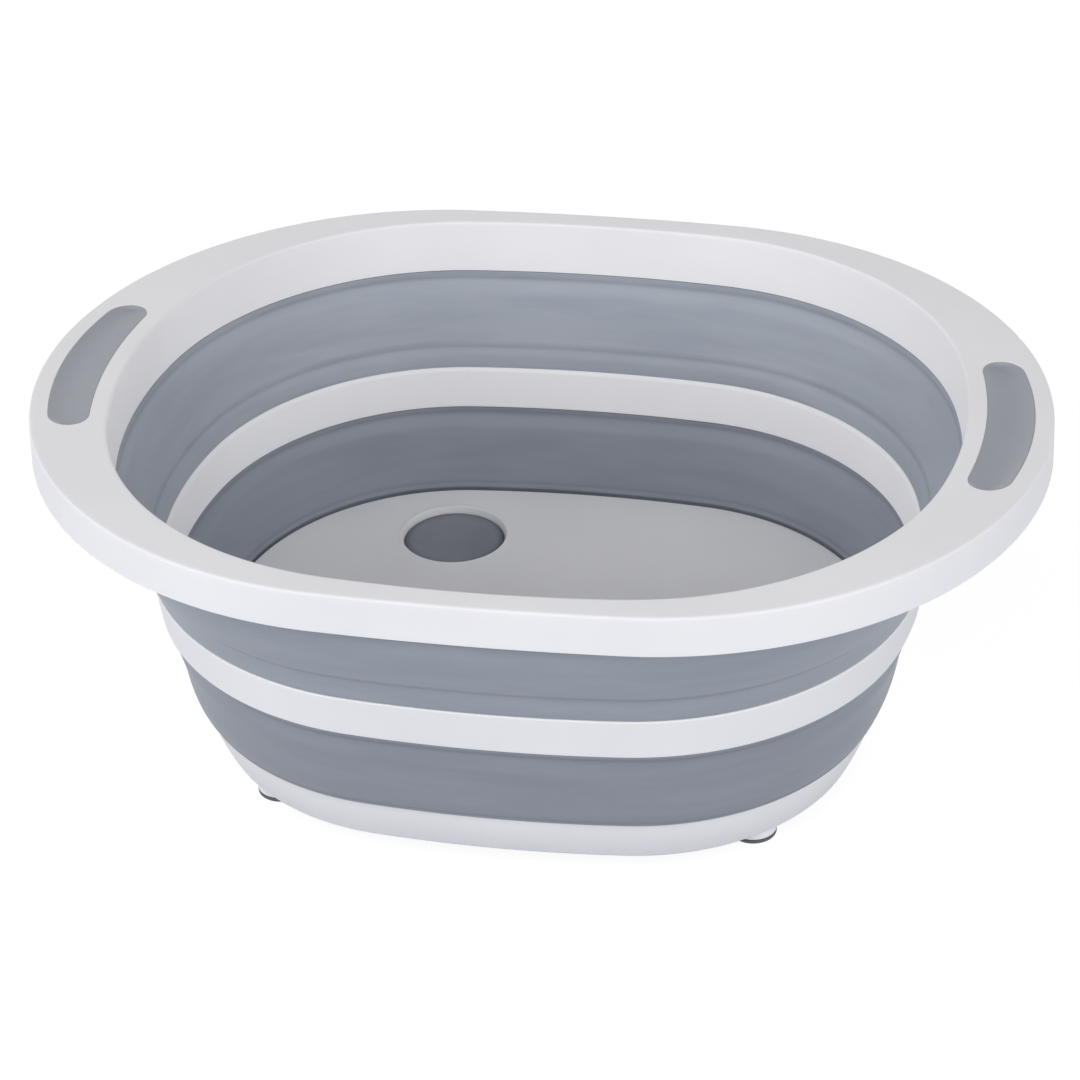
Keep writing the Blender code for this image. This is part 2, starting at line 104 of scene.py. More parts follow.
def softCorners(corners, steps=6, power=2):
    # A line through (across, up, radius) corners. Each round corner P is the curve
    # P + (1-t)^power (A-P) + t^power (B-P) between the points A and B a radius before and after
    # it, with one more point past each end that keeps the flat beside it flat. A higher power
    # turns more quickly in the middle of the corner.
    corners = np.array(corners, float)
    flat, radii = corners[:, :2], corners[:, 2]
    line = [flat[:1]]
    t = np.linspace(0.0, 1.0, steps + 1)[:, None]
    for before, here, after, radius in zip(flat, flat[1:], flat[2:], radii[1:]):
        if radius == 0.0:
            line.append(here[None])
            continue
        back = (before - here) / np.linalg.norm(before - here)
        on = (after - here) / np.linalg.norm(after - here)
        a, b = here + radius * back, here + radius * on
        guard = guardShare * radius
        curve = here + (1 - t) ** power * (a - here) + t ** power * (b - here)
        line += [(a + guard * back)[None], curve, (b + guard * on)[None]]
    line.append(flat[-1:])
    return np.concatenate(line)


def ovalRows(outline, section):
    # One ring of points for each (inset, height) of the section.
    x, y = ovalRing(outline, angles[None, :], section[:, :1])
    return np.stack([x, y, np.broadcast_to(section[:, 1:], x.shape)], axis=-1)


def between(first, last, shares):
    # Rows that pass evenly from one ring to another: (1-s) first + s last.
    s = np.asarray(shares, float)[:, None, None]
    return (1 - s) * first + s * last


def gridQuads(rows, columns, loop=True):
    # Quads between neighbouring rows and columns. The columns always close into a ring, and
    # with loop the last row joins the first.
    row = np.arange(rows if loop else rows - 1)[:, None]
    column = np.arange(columns)[None, :]
    nextRow, nextColumn = (row + 1) % rows, (column + 1) % columns
    quads = [row * columns + column, row * columns + nextColumn,
             nextRow * columns + nextColumn, nextRow * columns + column]
    return np.stack(quads, axis=-1).reshape(-1, 4)


def shellOf(rows, loop=True):
    # The points and quads of a stack of rings.
    rows = np.asarray(rows)
    return rows.reshape(-1, 3), gridQuads(rows.shape[0], rows.shape[1], loop)


def turned(profile, centre, count):
    # A (radius, height) profile turned about an upright axis: (x, y) = centre + r (cos a, sin a).
    profile = np.asarray(profile)
    a = np.arange(count) / count * turnOnce
    x = centre[0] + profile[:, :1] * np.cos(a)
    y = centre[1] + profile[:, :1] * np.sin(a)
    z = np.broadcast_to(profile[:, 1:], x.shape)
    return shellOf(np.stack([x, y, z], axis=-1), loop=False)


# Stiffening webs under the flange and the floor: how round their lower edge is, in how many
# places their top is set, and how far it sinks into what it carries
web = {"edge": 0.0004, "edgeSteps": 3, "stations": 25, "sink": 0.0008}


def rib(start, end, thickness, low, high):
    # A straight web: a rounded upright section carried along the line from start to end.
    # high may be one value or a value for each of the web's stations.
    start, end = np.array(start), np.array(end)
    along = (end - start) / np.linalg.norm(end - start)
    across = np.array([-along[1], along[0]])
    half, edge = thickness / 2, web["edge"]
    line = softCorners([(0.0, 1.0, 0), (half, 1.0, 0), (half, 0.0, edge), (-half, 0.0, edge),
                        (-half, 1.0, 0), (0.0, 1.0, 0)], web["edgeSteps"])[:-1]
    places = start + np.linspace(0.0, 1.0, web["stations"])[:, None] * (end - start)
    flat = places[:, None, :] + line[None, :, :1] * across
    tops = np.broadcast_to(np.asarray(high, float), (web["stations"],))[:, None]
    # the rounded foot keeps its shape, only the points drawn at 1.0 follow the top
    z = np.where(line[None, :, 1] > 0.5, tops, low + line[None, :, 1])
    rows = np.concatenate([flat, z[..., None]], axis=-1)
    middle = rows.mean(axis=1, keepdims=True)
    return shellOf(np.concatenate([np.broadcast_to(middle[:1], rows[:1].shape), rows,
                                   np.broadcast_to(middle[-1:], rows[-1:].shape)]), loop=False)


def makePiece(name, shells, material):
    # One mesh from several closed shells, welded at seams and poles, with its faces outwards.
    points, quads, first = [], [], 0
    for shellPoints, shellQuads in shells:
        points.append(shellPoints)
        quads.append(shellQuads + first)
        first += len(shellPoints)
    points, quads = np.concatenate(points), np.concatenate(quads)
    used = np.unique(quads)
    place = np.zeros(len(points), int)
    place[used] = np.arange(len(used))
    mesh = bpy.data.meshes.new(name)
    mesh.from_pydata(points[used], [], place[quads])
    shape = bmesh.new()
    shape.from_mesh(mesh)
    bmesh.ops.remove_doubles(shape, verts=shape.verts, dist=weldDistance)
    bmesh.ops.recalc_face_normals(shape, faces=shape.faces)
    shape.to_mesh(mesh)
    shape.free()
    mesh.shade_smooth()
    mesh.set_sharp_from_angle(angle=np.radians(creaseAngle))
    mesh.materials.append(material)
    piece = bpy.data.objects.new(name, mesh)
    bpy.context.scene.collection.objects.link(piece)
    return piece


# Values that a mesh keeps for its finish and its painted shade

def pointVectors(mesh, key):
    # The places ("co") or normals ("normal") of the points, one (x, y, z) in each row.
    values = np.zeros(len(mesh.vertices) * 3, np.float32)
    mesh.vertices.foreach_get(key, values)
    return values.reshape(-1, 3)


def keepRest(piece):
    # Where each point stands unfolded, so that a finish doesn't slide when the wall folds.
    rest = piece.data.attributes.new("restPlace", "FLOAT_VECTOR", "POINT")
    rest.data.foreach_set("vector", pointVectors(piece.data, "co").ravel())


def nearness(values, lines, width):
    # The largest of exp(-((value - line) / width)^2) over the lines: 1 on a line, 0 far away.
    return np.exp(-((values[:, None] - np.array(lines)) / width) ** 2).max(axis=1)


def keepShade(piece, shade):
    # How much painted shade darkens each point's colour, from 0 to 1.
    kept = piece.data.attributes.new("paintedShadeMask", "FLOAT", "POINT")
    kept.data.foreach_set("value", shade.astype(np.float32))


def keepFoldShade(piece, low, innerLines, outerLines, width):
    # Painted shade along the hinge lines and joins: how near each point lies to a hinge line of
    # its own face, in millimetres above the named height. A point is on the outer face where its
    # place and its normal point the same way.
    place, turn = pointVectors(piece.data, "co"), pointVectors(piece.data, "normal")
    outside = (place[:, :2] * turn[:, :2]).sum(axis=1) > 0.0
    z = (place[:, 2] - heights[low]) * 1000
    keepShade(piece, np.where(outside, nearness(z, outerLines, width),
                              nearness(z, innerLines, width)))


def keepEdgeShade(piece, centre, radius, width):
    # Painted shade in a ring: how near each point lies to a circle about an upright axis.
    x, y, _ = pointVectors(piece.data, "co").T
    keepShade(piece, nearness(np.hypot(x - centre[0], y - centre[1]), (radius,), width))


# Shader groups, each built once and placed in several finishes

def newGroup(name, inputs, outputs):
    # An empty group with named inputs (label, kind, value) and outputs (label, kind).
    group = bpy.data.node_groups.new(name, "ShaderNodeTree")
    for label, kind, value in inputs:
        socket = group.interface.new_socket(label, in_out="INPUT", socket_type=kind)
        if value is not None:
            socket.default_value = value
    for label, kind in outputs:
        group.interface.new_socket(label, in_out="OUTPUT", socket_type=kind)
    entry = group.nodes.new("NodeGroupInput")
    leave = group.nodes.new("NodeGroupOutput")
    entry.location, leave.location = (-700, 0), (500, 0)
    return group, entry, leave


def setInputs(tree, node, inputs):
    # Each input, by name or number, gets a value or another node's output.
    for key, value in inputs.items():
        if isinstance(value, bpy.types.NodeSocket):
            tree.links.new(value, node.inputs[key])
        else:
            node.inputs[key].default_value = value


def addNode(tree, kind, x, y, inputs=None, **settings):
    # A node at a place in the editor, with its own settings and inputs.
    node = tree.nodes.new(kind)
    node.location = (x, y)
    for key, value in settings.items():
        setattr(node, key, value)
    setInputs(tree, node, inputs or {})
    return node


def mathNode(tree, operation, x, y, *values):
    # The result of a Math node on numbers or other nodes' outputs.
    inputs = dict(enumerate(values))
    return addNode(tree, "ShaderNodeMath", x, y, inputs, operation=operation).outputs[0]


def grainGroup():
    # Fine moulded grain: (1 - share) times a fine noise plus share times a broad one.
    group, entry, leave = newGroup(
        "mouldGrain",
        [("Place", "NodeSocketVector", None), ("Scale", "NodeSocketFloat", 900.0),
         ("Unevenness", "NodeSocketFloat", 60.0), ("Share", "NodeSocketFloat", 0.4)],
        [("Height", "NodeSocketFloat")])
    taken = entry.outputs
    fine = addNode(group, "ShaderNodeTexNoise", -400, 120, {
        "Vector": taken["Place"], "Scale": taken["Scale"], "Detail": 3.0})
    broad = addNode(group, "ShaderNodeTexNoise", -400, -160, {
        "Vector": taken["Place"], "Scale": taken["Unevenness"], "Detail": 2.0})
    blend = addNode(group, "ShaderNodeMix", 100, 0, {
        "Factor": taken["Share"], "A": fine.outputs["Fac"], "B": broad.outputs["Fac"]},
        data_type="FLOAT")
    setInputs(group, leave, {"Height": blend.outputs["Result"]})
    return group


def toneGroup():
    # Soft cloudy shifts of colour and gloss, from one slow noise drawn out by Stretch.
    group, entry, leave = newGroup(
        "softTone",
        [("Place", "NodeSocketVector", None), ("Stretch", "NodeSocketVector", (1.0, 1.0, 1.0)),
         ("Scale", "NodeSocketFloat", 25.0), ("Deep", "NodeSocketColor", (0.5, 0.5, 0.5, 1.0)),
         ("Light", "NodeSocketColor", (0.6, 0.6, 0.6, 1.0)),
         ("Gloss Low", "NodeSocketFloat", 0.3), ("Gloss High", "NodeSocketFloat", 0.4)],
        [("Colour", "NodeSocketColor"), ("Roughness", "NodeSocketFloat")])
    taken = entry.outputs
    stretch = addNode(group, "ShaderNodeVectorMath", -520, 60, {
        0: taken["Place"], 1: taken["Stretch"]}, operation="MULTIPLY")
    cloud = addNode(group, "ShaderNodeTexNoise", -340, 60, {
        "Vector": stretch.outputs[0], "Scale": taken["Scale"], "Detail": 4.0,
        "Roughness": 0.55, "Distortion": 0.3})
    spread = addNode(group, "ShaderNodeMapRange", -160, 60, {
        "Value": cloud.outputs["Fac"], "From Min": 0.32, "From Max": 0.68},
        interpolation_type="SMOOTHSTEP")
    colour = addNode(group, "ShaderNodeMix", 80, 160, {
        "Factor": spread.outputs["Result"], 6: taken["Deep"], 7: taken["Light"]},
        data_type="RGBA")
    gloss = addNode(group, "ShaderNodeMix", 80, -120, {
        "Factor": spread.outputs["Result"], "A": taken["Gloss Low"], "B": taken["Gloss High"]},
        data_type="FLOAT")
    setInputs(group, leave, {"Colour": colour.outputs[2], "Roughness": gloss.outputs["Result"]})
    return group


grainTree = grainGroup()
toneTree = toneGroup()
plasticIor = 1.47


def finish(name, values, place="object"):
    # A moulded finish: soft shifts of tone and gloss, and a fine grain in the normal. With a
    # share of painted shade, the colour is darker by that share where the piece's own mask of
    # painted shade is 1.
    material = bpy.data.materials.new(name)
    material.use_nodes = True
    tree = material.node_tree
    if place == "rest":
        rest = addNode(tree, "ShaderNodeAttribute", -900, 0, attribute_name="restPlace")
        source = rest.outputs["Vector"]
    else:
        source = addNode(tree, "ShaderNodeTexCoord", -900, 0).outputs["Object"]
    glossLow, glossHigh = values["roughness"]
    tone = addNode(tree, "ShaderNodeGroup", -560, 120, {
        "Place": source, "Stretch": values["stretch"], "Scale": values["toneScale"],
        "Deep": (*values["deep"], 1.0), "Light": (*values["light"], 1.0),
        "Gloss Low": glossLow, "Gloss High": glossHigh}, node_tree=toneTree)
    colour = tone.outputs["Colour"]
    if "paintedShadeShare" in values:
        shadeMask = addNode(tree, "ShaderNodeAttribute", -560, 420, attribute_name="paintedShadeMask")
        share = mathNode(tree, "MULTIPLY", -380, 420, shadeMask.outputs["Fac"], values["paintedShadeShare"])
        darker = addNode(tree, "ShaderNodeMix", -200, 320, {
            "Factor": share, 6: colour, 7: (0.0, 0.0, 0.0, 1.0)},
            data_type="RGBA", blend_type="MULTIPLY")
        colour = darker.outputs[2]
    grain = addNode(tree, "ShaderNodeGroup", -560, -240, {
        "Place": source, "Scale": values["grainScale"], "Unevenness": values["waveScale"],
        "Share": values["waveShare"]}, node_tree=grainTree)
    relief = addNode(tree, "ShaderNodeBump", -240, -240, {
        "Strength": values["relief"], "Distance": values["reliefDepth"],
        "Height": grain.outputs["Height"]})
    setInputs(tree, tree.nodes["Principled BSDF"], {
        "IOR": plasticIor, "Specular IOR Level": values["shine"], "Base Color": colour,
        "Roughness": tone.outputs["Roughness"], "Normal": relief.outputs["Normal"]})
    return material


whitePlastic = {
    "deep": (0.795, 0.792, 0.818), "light": (0.825, 0.822, 0.845), "toneScale": 14.0,
    "stretch": (1.0, 1.0, 1.0), "roughness": (0.64, 0.72), "grainScale": 1500.0,
    "waveScale": 90.0, "waveShare": 0.35, "relief": 0.25, "reliefDepth": 0.00004, "shine": 0.22,
}
# Silicone: its share of painted shade darkens the colour along the hinge lines and joins.
upperSilicone = {
    "deep": (0.293, 0.321, 0.370), "light": (0.328, 0.356, 0.405), "toneScale": 18.0,
    "stretch": (1.0, 1.0, 7.0), "roughness": (0.44, 0.52), "grainScale": 1100.0,
    "waveScale": 55.0, "waveShare": 0.6, "relief": 0.3, "reliefDepth": 0.00008, "shine": 0.36,
    "paintedShadeShare": 0.16,
}
# The lower wall is the same silicone painted darker: painted shade for its deeper place in the
# bowl.
shadedLowerSilicone = {
    **upperSilicone, "deep": (0.236, 0.255, 0.301), "light": (0.260, 0.281, 0.326),
}
# The plug's share of painted shade darkens a ring at its edge.
plugRubber = {
    "deep": (0.204, 0.220, 0.258), "light": (0.229, 0.245, 0.284), "toneScale": 60.0,
    "stretch": (1.0, 1.0, 1.0), "roughness": (0.42, 0.52), "grainScale": 1300.0,
    "waveScale": 160.0, "waveShare": 0.4, "relief": 0.3, "reliefDepth": 0.00006, "shine": 0.5,
    "paintedShadeShare": 0.45,
}
gripRubber = {
    "deep": (0.269, 0.282, 0.319), "light": (0.292, 0.307, 0.343), "toneScale": 45.0,
    "stretch": (1.0, 1.0, 1.0), "roughness": (0.44, 0.54), "grainScale": 1700.0,
    "waveScale": 120.0, "waveShare": 0.3, "relief": 0.35, "reliefDepth": 0.00006, "shine": 0.36,
}
padRubber = {
    "deep": (0.085, 0.092, 0.104), "light": (0.105, 0.112, 0.124), "toneScale": 120.0,
    "stretch": (1.0, 1.0, 1.0), "roughness": (0.55, 0.68), "grainScale": 1500.0,
    "waveScale": 200.0, "waveShare": 0.4, "relief": 0.4, "reliefDepth": 0.00008, "shine": 0.5,
}

white = finish("satinPolypropylene", whitePlastic)
silicone = {"upper": finish("upperSilicone", upperSilicone, place="rest"),
            "lower": finish("shadedLowerSilicone", shadedLowerSilicone, place="rest")}
plugFinish = finish("plugRubber", plugRubber)
gripFinish = finish("softTouchGrip", gripRubber)
padFinish = finish("footPadRubber", padRubber)
print("finishes made")

# Rim: the wide flange with its skirt and inner wall, and a grip let into each end

rim = {
    "skirtBottom": 0.1256, "skirtThickness": 0.0022, "draft": 0.0004, "underside": 0.1384,
    "outerEdge": 0.0026, "mouthEdge": 0.0024, "lowerEdge": 0.0006, "innerLowerEdge": 0.0003,
    "outerMargin": 0.0052, "mouthMargin": 0.0040, "cornerSteps": 12, "cornerPower": 3,
    "flatRows": 16, "pocketRows": 6,
    "ribThickness": 0.0016, "ribDepth": 0.0080,
    "ribAngles": (45.647, 58.454, 71.261, 84.068, 90.0),
}
# sideRow is how far down the grip's side its first row lies, as a share of its round edge
grip = {
    "halfLength": 0.0465, "outerMargin": 0.0070, "innerMargin": 0.0070, "outerCorner": 0.0062,
    "innerCorner": 0.0090, "depth": 0.0021, "edge": 0.00018, "edgeSteps": 6, "sideRow": 1.4,
    "dish": 0.0013, "dishRows": 14, "zoneAngle": 22.0, "outlineSteps": 400, "cornerPull": 0.5523,
    "fanAngle": 60.0, "fanSteps": 6001,
}
# the grip's pocket: its play round the grip, depth, round edge, the flat kept beside that edge
# as a share of it, the share of the depth where its wall has a row, and the step in its floor
pocket = {"gap": 0.00006, "depth": 0.0023, "edge": 0.00018, "apron": 1.3, "wallRow": 0.7,
          "floorStep": 0.0004}
top = heights["rimTop"]
# the flat is rebuilt round each grip, this many columns to either side of the end's middle
zoneColumns = int(np.argmin(np.abs(angles - np.radians(grip["zoneAngle"]))))
sideSteps, endSteps = 2 * zoneColumns, rim["flatRows"]


def flangeX(outline, inset, y):
    # How far out a parallel of the oval's +X end lies at each y, read from a fan of points.
    fan = np.radians(np.linspace(-grip["fanAngle"], grip["fanAngle"], grip["fanSteps"]))
    x, ys = ovalRing(outline, fan, inset)
    return np.interp(y, ys, x)


def gripOutline():
    # The grip's plan: two bowed sides and two straight ends joined by round corners,
    # counter-clockwise from the middle of the outer -Y corner, with even steps along each side
    # and each end.
    half, fine = grip["halfLength"], grip["outlineSteps"]
    t = np.linspace(0.0, 1.0, fine)

    def side(outline, inset, cut):
        # the parallel of an oval between the grip's corners, and where it meets the +Y corner
        ends = np.array([flangeX(outline, inset, half - cut), half - cut])
        y = np.linspace(-(half - cut), half - cut, fine)
        return np.stack([flangeX(outline, inset, y), y], axis=1), ends

    def corner(start, apex, finishAt):
        # cubic (1-t)^3 A + 3t(1-t)^2 C1 + 3t^2(1-t) C2 + t^3 B, near a quarter circle
        pull = grip["cornerPull"]
        c1, c2 = start + pull * (apex - start), finishAt + pull * (apex - finishAt)
        s = t[:, None]
        return ((1 - s) ** 3 * start + 3 * s * (1 - s) ** 2 * c1
                + 3 * s ** 2 * (1 - s) * c2 + s ** 3 * finishAt)

    outer, outerEnd = side(rimOutline, grip["outerMargin"], grip["outerCorner"])
    inner, innerEnd = side(mouthOutline, -grip["innerMargin"], grip["innerCorner"])
    outerApex = np.array([flangeX(rimOutline, grip["outerMargin"], half), half])
    innerApex = np.array([flangeX(mouthOutline, -grip["innerMargin"], half), half])
    span = (innerApex - outerApex) / np.linalg.norm(innerApex - outerApex)
    first = corner(outerEnd, outerApex, outerApex + grip["outerCorner"] * span)
    second = corner(innerApex - grip["innerCorner"] * span, innerApex, innerEnd)
    flip = np.array([1.0, -1.0])
    halfway = fine // 2
    lowerStart = (first * flip)[::-1]
    lowerEnd = (second * flip)[::-1]
    stretches = [
        np.concatenate([lowerStart[halfway:], outer, first[:halfway + 1]]),
        np.concatenate([first[halfway:], second[:halfway + 1]]),
        np.concatenate([second[halfway:], inner[::-1], lowerEnd[:halfway + 1]]),
        np.concatenate([lowerEnd[halfway:], lowerStart[:halfway + 1]]),
    ]
    plan = []
    for stretch, steps in zip(stretches, (sideSteps, endSteps, sideSteps, endSteps)):
        stepLengths = np.linalg.norm(np.diff(stretch, axis=0), axis=1)
        length = np.concatenate([[0.0], np.cumsum(stepLengths)])
        even = np.arange(steps) / steps * length[-1]
        plan.append(np.stack([np.interp(even, length, stretch[:, k]) for k in (0, 1)], axis=1))
    return np.concatenate(plan)


def grown(plan, distance):
    # A closed plan moved outwards along its normals.
    along = np.roll(plan, -1, axis=0) - np.roll(plan, 1, axis=0)
    along /= np.linalg.norm(along, axis=1, keepdims=True)
    return plan + distance * np.stack([along[:, 1], -along[:, 0]], axis=1)


def spineOf(plan):
    # For each point of the grip's plan, the middle between it and the one across.
    outer = np.arange(sideSteps + 1)
    inner = (2 * sideSteps + endSteps - outer) % len(plan)
    spine = np.zeros_like(plan)
    middles = (plan[outer] + plan[inner]) / 2
    spine[outer] = middles
    spine[inner] = middles
    spine[sideSteps + 1:sideSteps + endSteps] = middles[-1]
    spine[2 * sideSteps + endSteps + 1:] = middles[0]
    return spine


def planRows(plans, levels):
    # Rings of points from plans and the height of each.
    levels = np.asarray(levels, float)
    z = np.broadcast_to(levels[:, None, None], (len(plans), len(plans[0]), 1))
    return np.concatenate([np.asarray(plans), z], axis=-1)


gripPlan = gripOutline()


def pocketRings():
    # The pocket's rings from the edge of its opening inwards: a quarter circle over the edge,
    # the wall, the floor, and last the spine.
    edge, gap, depth = pocket["edge"], pocket["gap"], pocket["depth"]
    turnDown = np.linspace(0.0, np.pi / 2, grip["edgeSteps"] + 1)
    spread = np.concatenate([[gap + pocket["apron"] * edge], gap + edge * (1 - np.sin(turnDown)),
                             [gap, gap, gap - pocket["floorStep"]]])
    drop = np.concatenate([[0.0], edge * (1 - np.cos(turnDown)),
                           [pocket["wallRow"] * depth, depth, depth, depth]])
    rings = [grown(gripPlan, distance) for distance in spread]
    rings.append(spineOf(rings[-1]))
    return planRows(rings, top - drop)


def rimShell():
    # The flange, skirt and inner wall as one closed skin of rings, with a round-cornered pocket
    # let into the flat at each end.
    outerLine = softCorners([
        (rim["skirtThickness"], rim["underside"], 0),
        (rim["skirtThickness"] - rim["draft"], rim["skirtBottom"], rim["lowerEdge"]),
        (-rim["draft"], rim["skirtBottom"], rim["lowerEdge"]),
        (0.0, top, rim["outerEdge"]),
        (rim["outerMargin"], top, 0)], rim["cornerSteps"], rim["cornerPower"])
    innerLine = softCorners([
        (-rim["mouthMargin"], top, 0),
        (0.0, top, rim["mouthEdge"]),
        (insets["rimWall"], heights["rimWall"], rim["innerLowerEdge"]),
        (insets["rimWall"] - shellThickness, heights["rimWall"], 0),
        (-shellThickness, rim["underside"], 0)], rim["cornerSteps"], rim["cornerPower"])
    outerRows = ovalRows(rimOutline, outerLine)
    innerRows = ovalRows(mouthOutline, innerLine)
    steps = rim["flatRows"]
    flatRows = between(outerRows[-1], innerRows[0], np.arange(1, steps) / steps)
    points, quads = shellOf(np.concatenate([outerRows, flatRows, innerRows]))
    firstRow = len(outerRows) - 1
    # the flat is left open where a pocket goes
    quadRow, quadColumn = np.divmod(np.arange(len(quads)), columnCount)
    onFlat = (quadRow >= firstRow) & (quadRow < firstRow + steps)
    fromEnd = np.minimum((quadColumn + zoneColumns) % columnCount,
                         (quadColumn + zoneColumns - columnCount // 2) % columnCount)
    quads = quads[~(onFlat & (fromEnd < 2 * zoneColumns))]
    rings = pocketRings()
    pool, faces, first = [points], [quads], len(points)
    across = np.arange(1, steps)
    for mirror in (1, -1):
        columns = np.arange(-zoneColumns, zoneColumns + 1)
        if mirror == -1:
            columns = columnCount // 2 - columns
        columns %= columnCount
        loop = np.concatenate([
            firstRow * columnCount + columns,
            (firstRow + across) * columnCount + columns[-1],
            (firstRow + steps) * columnCount + columns[::-1],
            (firstRow + across[::-1]) * columnCount + columns[0]])
        count = len(loop)
        placed = rings * np.array([mirror, 1.0, 1.0])
        rows = rim["pocketRows"]
        apron = between(points[loop], placed[0], np.arange(1, rows) / rows)
        fresh = np.concatenate([apron, placed])
        index = first + np.arange(fresh.shape[0] * count).reshape(-1, count)
        index = np.concatenate([loop[None], index])
        a, b = index[:-1], index[1:]
        ringFaces = np.stack([a, np.roll(a, -1, 1), np.roll(b, -1, 1), b], axis=-1)
        faces.append(ringFaces.reshape(-1, 4))
        pool.append(fresh.reshape(-1, 3))
        first += fresh.shape[0] * count
    return np.concatenate(pool), np.concatenate(faces)


def allQuarters(degrees):
    # The angles of one quarter of the oval, repeated in all four.
    a = np.radians(degrees)
    return np.unique(np.round(np.concatenate([a, np.pi - a, -a, a - np.pi]), 6))


def rimRibs():
    # Webs across the hollow under the flange, along the long sides and the corners.
    low, high = rim["underside"] - rim["ribDepth"], rim["underside"] + web["sink"]
    return [rib(ovalRing(mouthOutline, angle, -shellThickness / 2),
                ovalRing(rimOutline, angle, rim["skirtThickness"] / 2),
                rim["ribThickness"], low, high)
            for angle in allQuarters(rim["ribAngles"])]


rimPiece = makePiece("rim_moulding", [rimShell()] + rimRibs(), white)
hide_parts("rim_frame")
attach(rimPiece, "rim")


def gripShell(mirror):
    # The pad in the pocket: a round edge, and a top that dips by dish (1 - (1-t)^2) towards its
    # spine.
    edge, depth = grip["edge"], grip["depth"]
    turnIn = np.linspace(0.0, np.pi / 2, grip["edgeSteps"] + 1)
    inward = np.concatenate([[edge, 0.0, 0.0], edge * (1 - np.cos(turnIn))])
    rise = np.concatenate([[-depth, -depth + edge, -edge * grip["sideRow"]],
                           edge * (np.sin(turnIn) - 1)])
    rings = [grown(gripPlan, -distance) for distance in inward]
    spine = spineOf(rings[-1])
    t = np.linspace(0.0, 1.0, grip["dishRows"] + 1)[1:]
    rings += [(1 - s) * rings[len(inward) - 1] + s * spine for s in t]
    rise = np.concatenate([[-depth], rise, -grip["dish"] * (1 - (1 - t) ** 2)])
    rows = planRows([spineOf(rings[0])] + rings, top + rise)
    return shellOf(rows * np.array([mirror, 1.0, 1.0]), loop=False)


for side, mirror in (("right", 1), ("left", -1)):
    piece = makePiece(f"grip_pad_{side}", [gripShell(mirror)], gripFinish)
    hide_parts(f"grip_{side}")
    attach(piece, "rim")
print("rim and grips made")

# Middle ring

ring = {
    "proudInside": 0.0005, "proudTop": 0.0005, "proudBottom": 0.0004,
    "outerEdge": 0.0007, "lowerEdge": 0.0005,
    # the cut-off inner top edge: (inwards from the inner face, down from the top, corner radius)
    "chamfer": ((-0.0008, 0.0, 0.0003), (-0.0003, 0.0005, 0.0002), (0.0002, 0.0013, 0.0003)),
}


def ringShell():
    # A slightly proud band whose faces lean with the walls.
    low, high, inside = heights["ringBottom"], heights["ringTop"], ring["proudInside"]
    middle = insets["ringTop"] - shellThickness / 2
    section = softCorners([
        (middle, high, 0),
        *[(insets["ringTop"] + inside + inwards, high - down, radius)
          for inwards, down, radius in ring["chamfer"]],
        (insets["ringBottom"] + inside, low, ring["lowerEdge"]),
        (insets["ringBottom"] - shellThickness - ring["proudBottom"], low, ring["lowerEdge"]),
        (insets["ringTop"] - shellThickness - ring["proudTop"], high, ring["outerEdge"]),
        (middle, high, 0)])[:-1]
    return shellOf(ovalRows(mouthOutline, section))


ringPiece = makePiece("ring_moulding", [ringShell()], white)
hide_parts("middle_ring")
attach(ringPiece, "middle")

# Soft walls between the hard parts

# For each face, as (height above the wall's foot, how far it stands out) in millimetres: the
# places its broad curve passes through, then its swellings: a ledge near the top, a hinge line,
# and a hollow at each join. The lines are the heights of the hinges and joins, inside and
# outside, along which shade is painted into the colour.
wall = {
    "seam": 0.00003, "steps": 7, "groove": 0.0012, "grooveWidth": 0.0013, "edge": 0.0002,
    "step": 0.0003, "lineWidth": 0.8,
    "upperLines": ((8.3, 34.8, 37.6), (12.2, 37.6)),
    "lowerLines": ((3.3, 31.4, 33.6), (-3.0, 30.6)),
    "upperInner": (((0.0, 0.0), (19.0, 0.3), (37.85, 0.0)), (
        (0.0, -0.55), (1.2, -0.20), (4.8, 0.14), (8.1, -0.26), (10.6, 0.10), (13.0, 0.04),
        (20.0, 0.16), (28.9, 0.45), (34.4, -0.82), (37.3, -0.20), (37.85, -0.65))),
    "upperOuter": (((0.0, 0.0), (9.0, 0.4), (24.0, 1.9), (37.85, 0.0)), (
        (0.0, -0.30), (1.0, 0.25), (11.4, -0.80), (13.8, 0.0), (25.0, 0.05), (36.8, 0.0),
        (37.85, -0.50))),
    "lowerInner": (((0.0, 0.0), (17.0, 0.3), (33.85, 0.0)), (
        (0.0, -1.20), (1.3, -0.10), (2.3, 0.06), (3.3, -0.08), (5.4, 0.02), (15.0, 0.12),
        (25.2, 0.42), (31.2, -0.75), (33.3, -0.25), (33.85, -0.65))),
    "lowerOuter": (
        ((-5.5, 0.75), (-1.0, 1.95), (7.0, 1.60), (18.0, 0.0), (28.0, -0.35), (33.85, 0.0)), (
            (-5.5, -0.45), (-4.8, 0.10), (-4.1, 0.04), (-3.0, -0.30), (-1.8, 0.0), (12.0, 0.0),
            (21.5, 0.35), (29.9, -1.00), (32.9, -0.05), (33.85, -0.50))),
}


def faceInset(low, high, z):
    # How far inside the mouth the inner faces lie at a height between two of the named ones.
    share = (z - heights[low]) / (heights[high] - heights[low])
    return insets[low] + (insets[high] - insets[low]) * share


